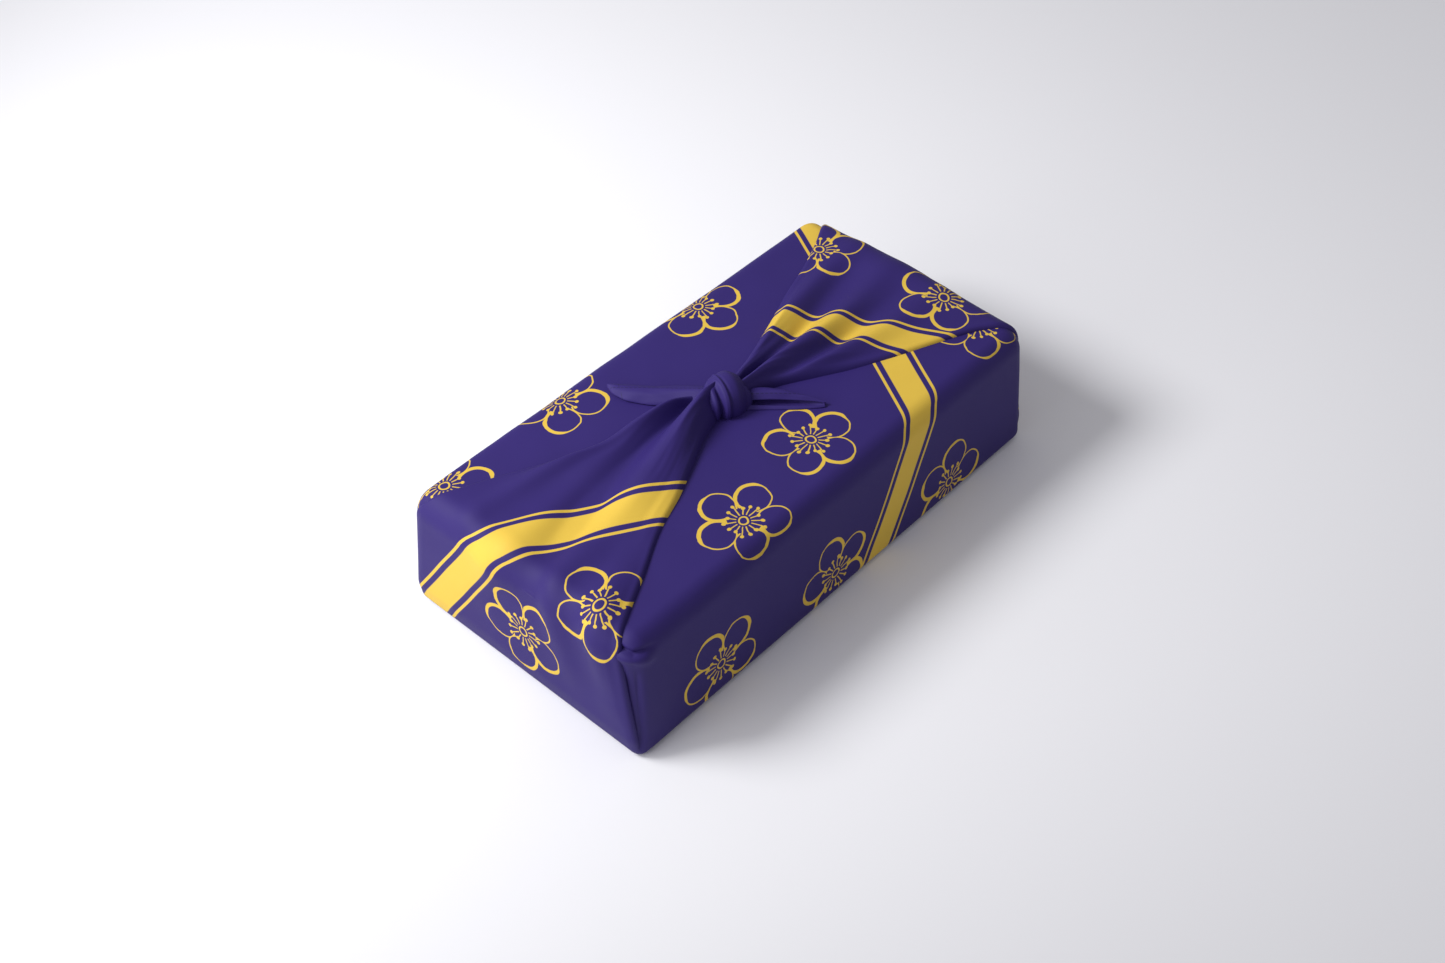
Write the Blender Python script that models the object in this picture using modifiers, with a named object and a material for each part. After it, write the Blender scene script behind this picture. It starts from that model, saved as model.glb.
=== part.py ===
"""A furoshiki: one square cloth wrapped round a flat gift box and tied on top in a square knot.

Metres, +Z up. The origin is on the floor under the middle of the parcel. X runs along the parcel,
from its front end (-X) to its back end (+X). The cloth's side flaps close over the top from the -Y
side. Its two end corners come up the ends, narrow over the top and meet in the knot.
"""

import math
from collections import namedtuple

import bmesh
import bpy
from mathutils import Matrix, Vector

MM = 0.001
TOUCH = 1e-6  # what counts as on a face

# Outside size of the wrapped parcel
LENGTH = 284 * MM
WIDTH = 147 * MM
HEIGHT = 70.5 * MM
LENGTH_TAPER = 0.014  # how much shorter and narrower the parcel is at the top, as a share
WIDTH_TAPER = 0.055
ROUND_BOTTOM = 4 * MM  # how softly the cloth turns the box's edges
ROUND_TOP = 7 * MM
TOP_CROWN = 1.2 * MM  # how far the top and the long sides swell in the middle
SIDE_SWELL = 0.8 * MM
BODY_PITCH = 20 * MM

# Cloth and box
CLOTH = 2.0 * MM  # one layer, with its small ripples
GAP = 0.3 * MM  # air between cloth and box
EDGE_CLEARANCE = 2 * MM  # air between the cloth and the box's rounded edges
HOLLOW_ROUND = 4.5 * MM  # how round the cloth's hollow is at its edges
SUNK = 0.8 * MM  # how far a layer that lies on another runs into it
UPPER_FLAP_REACH = 14 * MM  # how far the upper side flap comes down the hidden long side
UPPER_FLAP_STEP = 1.6 * MM
UPPER_FLAP_ROLL = 1.4 * MM  # height of the step's rounded brink

# End flaps, from the floor up the end and over the top to the knot
FLAP_FOLD = 2.4 * MM  # thickness of the folded edge on the top
END_FOLD = 1.4 * MM  # and where it is pulled tight down the end
FLAP_START = 3 * MM  # height above the floor where the flap parts from the corner tuck
FLAP_PARTED = 14 * MM
GATHER_START = 35 * MM  # distance from the end where the gathers start to rise
KNOT_REACH = 138 * MM  # distance from the end where the flap goes into the knot
GATHER_HEIGHT = 8 * MM
FLAP_COLUMNS = 30
FLAP_PITCH = 7 * MM
FLAP_SHIFT = 0.6 * MM  # keeps the flap's rows off those of the cloth under it
EDGE_STEPS = (0.0, 0.35, 1.1, 2.6)  # columns across a folded edge, in mm from its brink
EDGE_THIN = 0.12  # how thin the very brink of a fold is, as a share of its thickness
FLAT_BRINK = 7 * MM  # width beside a folded edge over which the pressed folds fade out
LEAST_LIFT = 0.7 * MM  # what the deepest trough leaves over the cloth under it

# Where an end flap's two edges run: t from the parcel's end, negative down the end, in mm
EdgePoint = namedtuple("EdgePoint", "t right left")
FRONT_EDGES = (
    EdgePoint(-70, -75, 74),
    EdgePoint(-52, -72, 72),
    EdgePoint(-34, -69, 70),
    EdgePoint(-12, -66, 64),
    EdgePoint(0, -64, 60),
    EdgePoint(16, -56, 55),
    EdgePoint(33, -47, 51),
    EdgePoint(60, -32, 38),
    EdgePoint(80, -24, 30),
    EdgePoint(100, -14, 26),
    EdgePoint(118, -4, 20),
    EdgePoint(138, 0, 12),
)
BACK_EDGES = (
    EdgePoint(-70, -74, 74),
    EdgePoint(-52, -71, 71),
    EdgePoint(-30, -69, 70),
    EdgePoint(-12, -68, 68),
    EdgePoint(0, -66, 65),
    EdgePoint(19, -54, 55),
    EdgePoint(42, -44, 45),
    EdgePoint(62, -36, 38),
    EdgePoint(81, -27, 30),
    EdgePoint(99, -17, 23),
    EdgePoint(120, -6, 15),
    EdgePoint(138, -3, 10),
)

# Folds pressed into an end flap: three points of the crest (or trough, where the height is
# negative), its height at each and its half-width at the far and near end, in mm
Fold = namedtuple(
    "Fold", "t_far y_far t_mid y_mid t_near y_near h_far h_mid h_near w_far w_near"
)
FRONT_FOLDS = (
    Fold(20, 38, 66, 30, 130, 16, 1.5, 3.5, 4.0, 7, 5),
    Fold(-6, -14, 54, 5, 112, 13, -2.0, -3.5, -7.0, 12, 5),
    Fold(30, -16, 68, -6, 130, 5, 0.5, 2.5, 2.5, 12, 6),
    Fold(-4, 14, 16, 16, 60, 18, 2.0, 1.4, 0.5, 14, 10),
    Fold(-4, -19, 14, -18, 44, -14, 1.6, 0.9, 0.3, 9, 7),
    Fold(-6, -50, 12, -44, 50, -30, 1.8, 1.0, 0.4, 11, 8),
)
BACK_FOLDS = (
    Fold(-4, 4, 6, 4, 40, 4, 2.0, 2.2, 0.5, 34, 22),
    Fold(12, 33, 56, 28, 104, 17, 0.8, 1.4, 1.0, 7, 4),
    Fold(18, 16, 77, 8, 130, 4, 0.8, 2.8, 3.4, 8, 3.5),
    Fold(22, 5, 74, 0, 120, 0, -0.6, -1.6, -2.6, 7, 3),
    Fold(14, -18, 80, -13, 128, -2, 0.8, 3.2, 2.6, 9, 4),
    Fold(22, -30, 74, -23, 110, -10, -0.6, -1.4, -2.0, 9, 4),
)

# Knot, which stands on the top of the parcel
KNOT_CENTRE = Vector((-3.5, 3.5, 0)) * MM + Vector((0, 0, HEIGHT))
KNOT_TURN = math.radians(-30)  # how far the strap is turned from the parcel's width
CORE_SIZE = Vector((24, 19, 28)) * MM  # the tied tails under the strap
CORE_HEIGHT = 3 * MM  # of its middle above the top
STRAP_CREST_WIDTH = 20 * MM
STRAP_FOOT_WIDTH = 15 * MM
STRAP_HALF_SPAN = 12.5 * MM
STRAP_HEIGHT = 20.5 * MM
STRAP_THICKNESS = 2.6 * MM
STRAP_FOOT_DEPTH = 1.5 * MM  # how deep its feet run into the cloth under it
STRAP_CROWN = 2.4 * MM  # how much higher the strap's middle is than its edges
STRAP_PLEATS = ((-0.30, 0.9 * MM), (0.45, 0.7 * MM))  # place across, depth of each pleat
PLEAT_WIDTH = 0.16  # as a share of half the strap's width
STRAP_FULLNESS = 0.85  # power of the arch, under 1 for fuller shoulders

# Ears, the cloth's two corners that stick out of the knot. Root and tip are in mm, z from the
# parcel's top. The height is that of the leaf's arch, or of its fold where it is folded over.
Ear = namedtuple("Ear", "root tip half_width height folded")
EAR_THICKNESS = 1.8 * MM
EAR_WIDEST = 0.42  # where the leaf is widest, as a share of its length
LEAF_TIP = 0.1  # how wide the very tip is, as a share of the widest place
LEFT_EAR = Ear(root=(-9, 8, 7.5), tip=(-33.5, 54, 4), half_width=10.5, height=4.0, folded=False)
RIGHT_EAR = Ear(root=(4, 0, 7.5), tip=(29, -35, 4.5), half_width=7.5, height=4.6, folded=True)
FOLDED_SWEEP = math.radians(112)  # how far each way a folded ear's section turns from its fold

# Open mouths of the corner tucks: middle and size, in mm, cut through to the box
Mouth = namedtuple("Mouth", "x y z size_x size_y size_z tilt_deg")
MOUTHS = (
    Mouth(-137, 66.6, 61.5, 9, 2.6, 9, 12),
    Mouth(137, 69.0, 60.0, 9, 2.6, 8, 12),
)


def clamp(value, low, high):
    return max(low, min(high, value))


def smooth(value, low, high):
    """0 below low, 1 above high and an S-curve between."""
    s = clamp((value - low) / (high - low), 0.0, 1.0)
    return s * s * (3 - 2 * s)


def table_value(rows, t, column):
    """A column of a table read at t, in metres, on a smooth curve through its rows."""
    t = clamp(t / MM, rows[0].t, rows[-1].t)
    i = max(k for k in range(len(rows) - 1) if rows[k].t <= t)
    near = rows[max(i - 1, 0) : i + 3]
    here = near.index(rows[i])
    values = [getattr(r, column) for r in near]
    places = [r.t for r in near]

    def slope(k):
        low, high = max(k - 1, 0), min(k + 1, len(near) - 1)
        return (values[high] - values[low]) / (places[high] - places[low])

    span = places[here + 1] - places[here]
    s = (t - places[here]) / span
    value = (
        values[here] * (1 + 2 * s) * (1 - s) ** 2
        + slope(here) * span * s * (1 - s) ** 2
        + values[here + 1] * s * s * (3 - 2 * s)
        - slope(here + 1) * span * s * s * (1 - s)
    )
    return value * MM


def through_three(t, points):
    """The parabola through three (t, value) points, read at t."""
    (t0, a), (t1, b), (t2, c) = points
    return (
        a * (t - t1) * (t - t2) / ((t0 - t1) * (t0 - t2))
        + b * (t - t0) * (t - t2) / ((t1 - t0) * (t1 - t2))
        + c * (t - t0) * (t - t1) / ((t2 - t0) * (t2 - t1))
    )


def fold_height(folds, t, y):
    """What the pressed folds add at t from the end and y across, in metres."""
    t, y, total = t / MM, y / MM, 0.0
    fade = 20
    for f in folds:
        along = clamp(t, f.t_far, f.t_near)
        centre = through_three(
            along, ((f.t_far, f.y_far), (f.t_mid, f.y_mid), (f.t_near, f.y_near))
        )
        share = (along - f.t_far) / (f.t_near - f.t_far)
        width = f.w_far + (f.w_near - f.w_far) * share
        if along < f.t_mid:
            height = f.h_far + (f.h_mid - f.h_far) * smooth(along, f.t_far, f.t_mid)
        else:
            height = f.h_mid + (f.h_near - f.h_mid) * smooth(along, f.t_mid, f.t_near)
        height *= smooth(t, f.t_far - fade, f.t_far)
        total += height * math.exp(-(((y - centre) / width) ** 2))
    return total * MM


def skin(x, y, z, offset):
    """A point of the square-edged parcel moved onto the rounded, tapered one, offset outwards."""
    rise = z / HEIGHT
    edge = ROUND_BOTTOM + (ROUND_TOP - ROUND_BOTTOM) * rise
    inner = Vector(
        (
            clamp(x, edge - LENGTH / 2, LENGTH / 2 - edge),
            clamp(y, edge - WIDTH / 2, WIDTH / 2 - edge),
            clamp(z, ROUND_BOTTOM, HEIGHT - ROUND_TOP),
        )
    )
    out = (Vector((x, y, z)) - inner).normalized()
    point = inner + out * (edge + offset)
    point.x *= 1 - LENGTH_TAPER * rise
    point.y *= 1 - WIDTH_TAPER * rise
    return point


def cut_block(cuts_x, cuts_y, cuts_z):
    """A closed block from the first to the last cut each way, with its faces divided at the cuts."""
    bm = bmesh.new()
    bmesh.ops.create_cube(bm, size=1.0)
    low = Vector((cuts_x[0], cuts_y[0], cuts_z[0]))
    high = Vector((cuts_x[-1], cuts_y[-1], cuts_z[-1]))
    for v in bm.verts:
        v.co = Vector(low[i] if v.co[i] < 0 else high[i] for i in range(3))
    for axis, cuts in enumerate((cuts_x, cuts_y, cuts_z)):
        normal = Vector((0, 0, 0))
        normal[axis] = 1
        for cut in cuts[1:-1]:
            bmesh.ops.bisect_plane(
                bm,
                geom=bm.verts[:] + bm.edges[:] + bm.faces[:],
                plane_co=normal * cut,
                plane_no=normal,
                dist=1e-6,
            )
    return bm


def finish(bm, name, collection, shape=None):
    """Bends the block by the shape function and makes it an object with flat faces."""
    if shape:
        for v in bm.verts:
            v.co = shape(v.co)
        bmesh.ops.triangulate(bm, faces=bm.faces[:])
    bmesh.ops.recalc_face_normals(bm, faces=bm.faces[:])
    mesh = bpy.data.meshes.new(name)
    bm.to_mesh(mesh)
    bm.free()
    obj = bpy.data.objects.new(name, mesh)
    collection.objects.link(obj)
    return obj


def even_cuts(low, high, pitch):
    count = max(1, round((high - low) / pitch))
    return [low + (high - low) * i / count for i in range(count + 1)]


# Distances from a square edge, as shares of its rounding, that give even angles on the rounding
BEND_STEPS = [1 - math.tan(math.radians(angle)) for angle in (0, 15, 30)]


def rounded_cuts(low, high, low_edge, high_edge, pitch):
    """Even cuts with finer ones where the edges are rounded."""
    start = [low] + sorted(low + low_edge * s for s in BEND_STEPS)
    end = sorted(high - high_edge * s for s in BEND_STEPS) + [high]
    return start + even_cuts(start[-1], end[0], pitch)[1:-1] + end


def body_point(co):
    """The cloth round the box: rounded edges, a crowned top and the upper side flap's step."""
    x, y, z = co
    end_share = abs(x) / (LENGTH / 2)
    side_share = abs(y) / (WIDTH / 2)
    offset = 0.0
    on_top = z > HEIGHT - TOUCH
    on_side = side_share > 1 - TOUCH
    if on_top:
        offset += TOP_CROWN * (1 - side_share**2) * (1 - end_share**2)
    elif on_side and z > TOUCH:
        offset += SIDE_SWELL * math.sin(math.pi * z / HEIGHT) * (1 - end_share**2)
    if y > 0 and z > TOUCH:
        brink = HEIGHT - UPPER_FLAP_REACH
        reach = smooth(z, brink, brink + UPPER_FLAP_ROLL)
        offset += UPPER_FLAP_STEP * reach * smooth(y, WIDTH / 2 - ROUND_TOP, WIDTH / 2)
    return skin(x, y, z, offset)


def add_body(collection):
    brink = HEIGHT - UPPER_FLAP_REACH
    cuts_z = rounded_cuts(0, HEIGHT, ROUND_BOTTOM, ROUND_TOP, BODY_PITCH)
    bm = cut_block(
        rounded_cuts(-LENGTH / 2, LENGTH / 2, ROUND_TOP, ROUND_TOP, BODY_PITCH),
        rounded_cuts(-WIDTH / 2, WIDTH / 2, ROUND_TOP, ROUND_TOP, BODY_PITCH),
        sorted(cuts_z + [brink, brink + UPPER_FLAP_ROLL]),
    )
    return finish(bm, "wrap", collection, body_point)


def across(q, right, left, columns):
    """The y of column q of a flap: fixed steps over its folded edges, even ones between."""
    steps = [s * MM for s in EDGE_STEPS]
    last = len(steps) - 1
    if q <= last:
        return right + steps[round(q)]
    if q >= columns - last:
        return left - steps[round(columns - q)]
    share = (q - last) / (columns - 2 * last)
    low, high = right + steps[last], left - steps[last]
    return low + (high - low) * share


def flap_lift(t, y, right, left, folds):
    """How high the flap's outer face stands over the cloth under it."""
    gather = smooth(t, GATHER_START, KNOT_REACH)
    share = clamp((y - right) / (left - right), 0.0, 1.0)
    tent = GATHER_HEIGHT * gather * (4 * share * (1 - share)) ** 0.6
    brink = min(y - right, left - y)
    settle = smooth(brink, 0, FLAT_BRINK)
    low = END_FOLD + (FLAP_FOLD - END_FOLD) * smooth(t, -20 * MM, 20 * MM) + tent
    return max(low + settle * fold_height(folds, t, y), LEAST_LIFT)


def add_end_flap(name, end, edges, folds, collection):
    """One end corner of the cloth, from the floor up the end and over the top to the knot."""
    bend = [FLAP_SHIFT + side * ROUND_TOP * s for side in (-1, 1) for s in BEND_STEPS]
    bend = sorted(bend + [FLAP_SHIFT])
    up_the_end = even_cuts(FLAP_START - HEIGHT, bend[0], FLAP_PITCH)
    over_the_top = even_cuts(bend[-1], KNOT_REACH, FLAP_PITCH)
    rows = up_the_end[:-1] + bend + over_the_top[1:]
    bm = cut_block(rows, list(range(FLAP_COLUMNS + 1)), [0, 1])

    def shape(co):
        t, q, top = co
        right = table_value(edges, t, "right")
        left = table_value(edges, t, "left")
        y = across(q, right, left, FLAP_COLUMNS)
        brink = min(y - right, left - y) / (EDGE_STEPS[-1] * MM)
        roll = math.sqrt(1 - (1 - clamp(brink, 0.0, 1.0)) ** 2)
        parted = smooth(t + HEIGHT, FLAP_START, FLAP_PARTED)
        lift = flap_lift(t, y, right, left, folds) * parted
        offset = (lift + SUNK) * (EDGE_THIN + (1 - EDGE_THIN) * roll) * top - SUNK
        x = end * (LENGTH / 2 - max(t, 0.0))
        z = HEIGHT + min(t, 0.0)
        return skin(x, y, z, offset)

    return finish(bm, name, collection, shape)


def knot_frame():
    return Matrix.Translation(KNOT_CENTRE) @ Matrix.Rotation(KNOT_TURN, 4, "Z")


def add_knot_core(collection):
    """The tied tails inside the knot."""
    bm = bmesh.new()
    bmesh.ops.create_uvsphere(bm, u_segments=18, v_segments=12, radius=0.5)
    bmesh.ops.scale(bm, vec=CORE_SIZE, verts=bm.verts)
    bmesh.ops.translate(bm, vec=(0, 0, CORE_HEIGHT), verts=bm.verts)
    bmesh.ops.transform(bm, matrix=knot_frame(), verts=bm.verts)
    return finish(bm, "knot_core", collection)


def add_strap(collection):
    """The band of the knot that goes over the tails from foot to foot."""
    bm = cut_block(even_cuts(0, math.pi, math.pi / 16), even_cuts(-1, 1, 0.2), [0, 1])
    frame = knot_frame()

    def shape(co):
        angle, q, outer = co
        rise = max(math.sin(angle), 0.0)
        crown = STRAP_CROWN * (1 - q * q)
        for place, depth in STRAP_PLEATS:
            crown -= depth * math.exp(-(((q - place) / PLEAT_WIDTH) ** 2)) * rise
        grow = crown * outer + STRAP_THICKNESS * (outer - 1)
        width = STRAP_FOOT_WIDTH + (STRAP_CREST_WIDTH - STRAP_FOOT_WIDTH) * rise
        y = math.cos(angle) * (STRAP_HALF_SPAN + grow)
        z = rise**STRAP_FULLNESS * (STRAP_HEIGHT + grow) - STRAP_FOOT_DEPTH
        return frame @ Vector((q * width / 2, y, z))

    return finish(bm, "knot_strap", collection, shape)


def add_ear(name, ear, collection):
    """A corner of the cloth that leaves the knot as a leaf, arched or folded over lengthwise."""
    bm = cut_block(even_cuts(0, 1, 0.08), even_cuts(-1, 1, 0.2), [0, 1])
    top = Vector((0, 0, HEIGHT))
    root = Vector(ear.root) * MM + top
    along = Vector(ear.tip) * MM + top - root
    side = Vector((0, 0, 1)).cross(along).normalized()
    up = along.cross(side).normalized()

    def shape(co):
        u, q, outer = co
        s = math.sin(u * math.pi / 2)
        leaf = math.sqrt(max(1 - ((s - EAR_WIDEST) / (1 - EAR_WIDEST)) ** 2, LEAF_TIP**2))
        half = ear.half_width * MM * leaf
        height = ear.height * MM * leaf
        thickness = EAR_THICKNESS
        if ear.folded:
            turn = q * FOLDED_SWEEP
            place = side * (math.cos(turn) * half / 1.4) + up * (math.sin(turn) * height)
            normal = side * math.cos(turn) + up * math.sin(turn)
            thickness = min(thickness, 0.7 * height)
        else:
            place = side * (q * half) + up * (height * (1 - q * q))
            normal = (up + side * (q * height / half * 2)).normalized()
        return root + along * s + place + normal * thickness * (outer - 0.5)

    return finish(bm, name, collection, shape)


def add_cavity(collection):
    """The space that the box fills, with the cloth's thickness all round."""
    half = Vector((LENGTH / 2, WIDTH / 2, 0)) - Vector((CLOTH, CLOTH, 0))
    bm = cut_block([-half.x, half.x], [-half.y, half.y], [CLOTH, HEIGHT - CLOTH])

    def shape(co):
        rise = co.z / HEIGHT
        return Vector((co.x * (1 - LENGTH_TAPER * rise), co.y * (1 - WIDTH_TAPER * rise), co.z))

    cavity = finish(bm, "cavity", collection, shape)
    bevel = cavity.modifiers.new("edges", "BEVEL")
    bevel.width = HOLLOW_ROUND
    bevel.segments = 2
    return cavity


def add_mouths(collection):
    """Cutters for the open mouths of the corner tucks."""
    cutters = []
    for number, m in enumerate(MOUTHS):
        bm = bmesh.new()
        bmesh.ops.create_cone(bm, cap_ends=True, segments=10, radius1=0.5, radius2=0.5, depth=1)
        turn = Matrix.Rotation(math.radians(m.tilt_deg), 4, "X")
        size = Matrix.Diagonal((m.size_x * MM, m.size_y * MM, m.size_z * MM, 1))
        place = Matrix.Translation(Vector((m.x, m.y, m.z)) * MM)
        lie = Matrix.Rotation(math.radians(90), 4, "Y")
        bmesh.ops.transform(bm, matrix=place @ turn @ size @ lie, verts=bm.verts)
        cutters.append(finish(bm, f"mouth_{number}", collection))
    return cutters


def join(target, others, operation):
    """Joins or cuts the target by each of the others, which then leave the render."""
    for other in others:
        modifier = target.modifiers.new(other.name, "BOOLEAN")
        modifier.operation = operation
        modifier.solver = "EXACT"
        modifier.object = other
        other.hide_render = True
        other.display_type = "WIRE"


def add_box(collection):
    """The plain gift box, which fills the cloth's hollow at the top and clears it at the edges."""
    top_share = 1 - WIDTH_TAPER
    size = Vector(
        (
            LENGTH * (1 - LENGTH_TAPER) - 2 * (CLOTH + GAP),
            WIDTH * top_share - 2 * (CLOTH + GAP),
            HEIGHT - 2 * (CLOTH + GAP),
        )
    )
    bm = bmesh.new()
    bmesh.ops.create_cube(bm, size=1.0)
    bmesh.ops.scale(bm, vec=size, verts=bm.verts)
    box = finish(bm, "box", collection)
    box.location.z = HEIGHT / 2
    bevel = box.modifiers.new("edges", "BEVEL")
    bevel.width = HOLLOW_ROUND + (EDGE_CLEARANCE - GAP * math.sqrt(2)) / (math.sqrt(2) - 1)
    bevel.segments = 3
    return box


def material(name, colour, roughness):
    made = bpy.data.materials.new(name)
    made.use_nodes = True
    shader = made.node_tree.nodes["Principled BSDF"]
    shader.inputs["Base Color"].default_value = (*colour, 1)
    shader.inputs["Roughness"].default_value = roughness
    shader.inputs["Metallic"].default_value = 0.0
    return made


def main():
    for old in list(bpy.data.objects):
        bpy.data.objects.remove(old)
    parts = bpy.data.collections.new("furoshiki")
    cutters = bpy.data.collections.new("joined_and_cutters")
    for collection in (parts, cutters):
        bpy.context.scene.collection.children.link(collection)

    cloth = add_body(parts)
    layers = [
        add_end_flap("front_flap", -1, FRONT_EDGES, FRONT_FOLDS, cutters),
        add_end_flap("back_flap", 1, BACK_EDGES, BACK_FOLDS, cutters),
        add_knot_core(cutters),
        add_strap(cutters),
        add_ear("left_ear", LEFT_EAR, cutters),
        add_ear("right_ear", RIGHT_EAR, cutters),
    ]
    join(cloth, layers, "UNION")
    join(cloth, [add_cavity(cutters), *add_mouths(cutters)], "DIFFERENCE")
    box = add_box(parts)

    cloth.data.materials.append(material("navy_cotton", (0.042, 0.028, 0.150), 0.62))
    box.data.materials.append(material("grey_board", (0.46, 0.44, 0.41), 0.8))


main()
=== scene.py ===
"""The looks of a furoshiki: a printed cotton cloth tied round a flat gift box.

Metres, +Z up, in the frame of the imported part: X runs along the parcel from its front end (-X),
the long side that shows faces -Y, and the origin is on the floor under the middle of the parcel.
"""

import math
from collections import namedtuple

import bpy
import numpy as np
from mathutils import Matrix, Vector, noise


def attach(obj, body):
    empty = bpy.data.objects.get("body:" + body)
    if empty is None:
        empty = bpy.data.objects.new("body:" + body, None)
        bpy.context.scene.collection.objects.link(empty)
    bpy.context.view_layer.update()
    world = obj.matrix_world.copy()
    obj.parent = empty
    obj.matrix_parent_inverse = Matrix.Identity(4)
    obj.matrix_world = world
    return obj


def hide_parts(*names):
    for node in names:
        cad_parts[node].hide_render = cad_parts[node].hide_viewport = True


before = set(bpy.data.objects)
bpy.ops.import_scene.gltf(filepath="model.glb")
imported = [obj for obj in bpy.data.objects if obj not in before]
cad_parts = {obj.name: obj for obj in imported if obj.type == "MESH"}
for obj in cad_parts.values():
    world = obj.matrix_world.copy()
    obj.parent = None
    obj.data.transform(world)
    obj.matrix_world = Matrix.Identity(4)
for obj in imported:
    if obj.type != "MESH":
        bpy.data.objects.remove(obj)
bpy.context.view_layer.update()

MM = 0.001
SCENE = bpy.context.scene

# The parcel and its cloth, as in the part's source but for the rounder edges
LENGTH = 284 * MM
WIDTH = 147 * MM
HEIGHT = 70.5 * MM
LENGTH_TAPER = 0.014  # how much shorter and narrower the parcel is at the top, as a share
WIDTH_TAPER = 0.055
ROUND_BOTTOM = 5.5 * MM  # rounder than in the source, as the box's own edges leave room
ROUND_TOP = 10 * MM
TOP_CROWN = 1.2 * MM  # how far the top and the long sides swell in the middle
SIDE_SWELL = 0.8 * MM
SUNK = 0.8 * MM  # how far a layer that lies on another runs into it
UPPER_FLAP_REACH = 14 * MM  # how far the upper side flap comes down the hidden long side
UPPER_FLAP_STEP = 1.6 * MM
UPPER_FLAP_ROLL = 1.4 * MM  # height of the step's rounded brink
SHEET = 1.0 * MM  # thickness of one layer
TOUCH = 1e-6  # what counts as on a face

# End flaps, with t the distance from the parcel's end along the cloth, negative down the end
FLAP_FOLD = 2.4 * MM  # thickness of the folded edge on the top
END_FOLD = 1.4 * MM  # and where it is pulled tight down the end
FOLD_CHANGE = 20 * MM  # distance from the end's top edge over which one becomes the other
FLAP_START = 3 * MM  # height above the floor where the flap parts from the corner tuck
FLAP_PARTED = 14 * MM
GATHER_START = 35 * MM  # distance from the end where the gathers start to rise
KNOT_REACH = 138 * MM  # distance from the end where the flap goes into the knot
GATHER_HEIGHT = 8 * MM
GATHER_POWER = 0.6  # under 1 for fuller sides of the gathers
FLAP_COLUMNS = 120
FLAP_PITCH = 1.7 * MM
EDGE_STEPS = (0.0, 0.12, 0.35, 0.7, 1.1, 1.7, 2.6)  # in mm from a folded edge's brink
EDGE_THIN = 0.12  # how thin the very brink of a fold is, as a share of its thickness
FLAT_BRINK = 7 * MM  # width beside a folded edge over which the pressed folds fade out
LEAST_LIFT = 0.9 * MM  # what the deepest trough leaves over the cloth under it
SOFT_FLOOR = 1.0 * MM  # how softly the troughs level off above that

# Fine creases of a flap, which fan out from the knot, and soft puckers where it lies flat
CREASES_ACROSS = 7  # about how many lie side by side
CREASE_LENGTH = 70 * MM
CREASE_HEIGHT = 0.5 * MM
SMALL_CREASE = 2.3  # how much finer the second set is
SMALL_CREASE_HEIGHT = 0.3 * MM
FLAT_SHARE = 0.35  # of the creases' height where the flap lies flat
GATHERED_SHARE = 1.5  # what the gathers add to that
PUCKER_SIZE = 26 * MM
PUCKER_HEIGHT = 0.4 * MM

EdgePoint = namedtuple("EdgePoint", "t right left")
FRONT_EDGES = (
    EdgePoint(-70, -75, 77),
    EdgePoint(-52, -72, 76.5),
    EdgePoint(-34, -69, 75.5),
    EdgePoint(-12, -66, 73),
    EdgePoint(0, -64, 67),
    EdgePoint(16, -56, 59),
    EdgePoint(33, -47, 51),
    EdgePoint(60, -32, 38),
    EdgePoint(80, -24, 30),
    EdgePoint(100, -14, 28),
    EdgePoint(118, -5, 24),
    EdgePoint(138, 1, 13),
)
BACK_EDGES = (
    EdgePoint(-70, -74, 74),
    EdgePoint(-52, -71, 71),
    EdgePoint(-30, -69, 70),
    EdgePoint(-12, -68, 68),
    EdgePoint(0, -66, 65),
    EdgePoint(19, -54, 55),
    EdgePoint(42, -44, 45),
    EdgePoint(62, -36, 38),
    EdgePoint(81, -27, 30),
    EdgePoint(99, -17, 23),
    EdgePoint(120, -6, 15),
    EdgePoint(138, -3, 10),
)

# Pressed folds: three points of the crest (or trough, where the height is negative), its height
# at each, and its half-width at the far and near end, in mm
FOLD_FADE = 20  # mm before a fold's far end over which it sets in
Fold = namedtuple(
    "Fold", "t_far y_far t_mid y_mid t_near y_near h_far h_mid h_near w_far w_near"
)
FRONT_FOLDS = (
    Fold(14, 40, 66, 31, 132, 17, 2.0, 4.2, 4.4, 7, 3.4),
    Fold(-6, -14, 56, 6, 128, 13, -2.0, -3.8, -8.0, 12, 3.6),
    Fold(30, -16, 78, -5, 132, 8, 0.8, 3.0, 6.5, 12, 4.4),
    Fold(-30, 24, -2, 14, 56, 18, 1.2, 3.8, 0.8, 14, 9),
    Fold(-34, -30, -2, -19, 40, -14, 1.4, 3.2, 0.5, 10, 7),
    Fold(-24, -40, -4, -36, 24, -28, -0.3, -0.9, -0.3, 8, 8),
    Fold(-40, -60, -4, -50, 46, -30, 1.6, 3.4, 0.6, 11, 8),
)
BACK_FOLDS = (
    Fold(-4, 4, 6, 4, 40, 4, 2.0, 2.2, 0.5, 34, 22),
    Fold(12, 36, 60, 28, 126, 12, 1.2, 3.4, 4.2, 8, 4),
    Fold(30, 22, 92, 9, 128, 4.5, -1.2, -4.4, -7.0, 7, 2.6),
    Fold(18, 10, 84, 0, 130, 1, 1.4, 4.4, 4.6, 9, 4),
    Fold(26, -6, 84, -9, 126, -3, -1.0, -3.0, -4.0, 7, 3),
    Fold(14, -22, 80, -17, 124, -7, 1.2, 3.8, 2.8, 9, 3.5),
)

# Knot, in a frame of its own on the parcel's top: x to the camera's right, y away from it, z up
KNOT_CENTRE = Vector((-3.5, 3.5, 0)) * MM + Vector((0, 0, HEIGHT))
KNOT_TURN = math.radians(-48)

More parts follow.
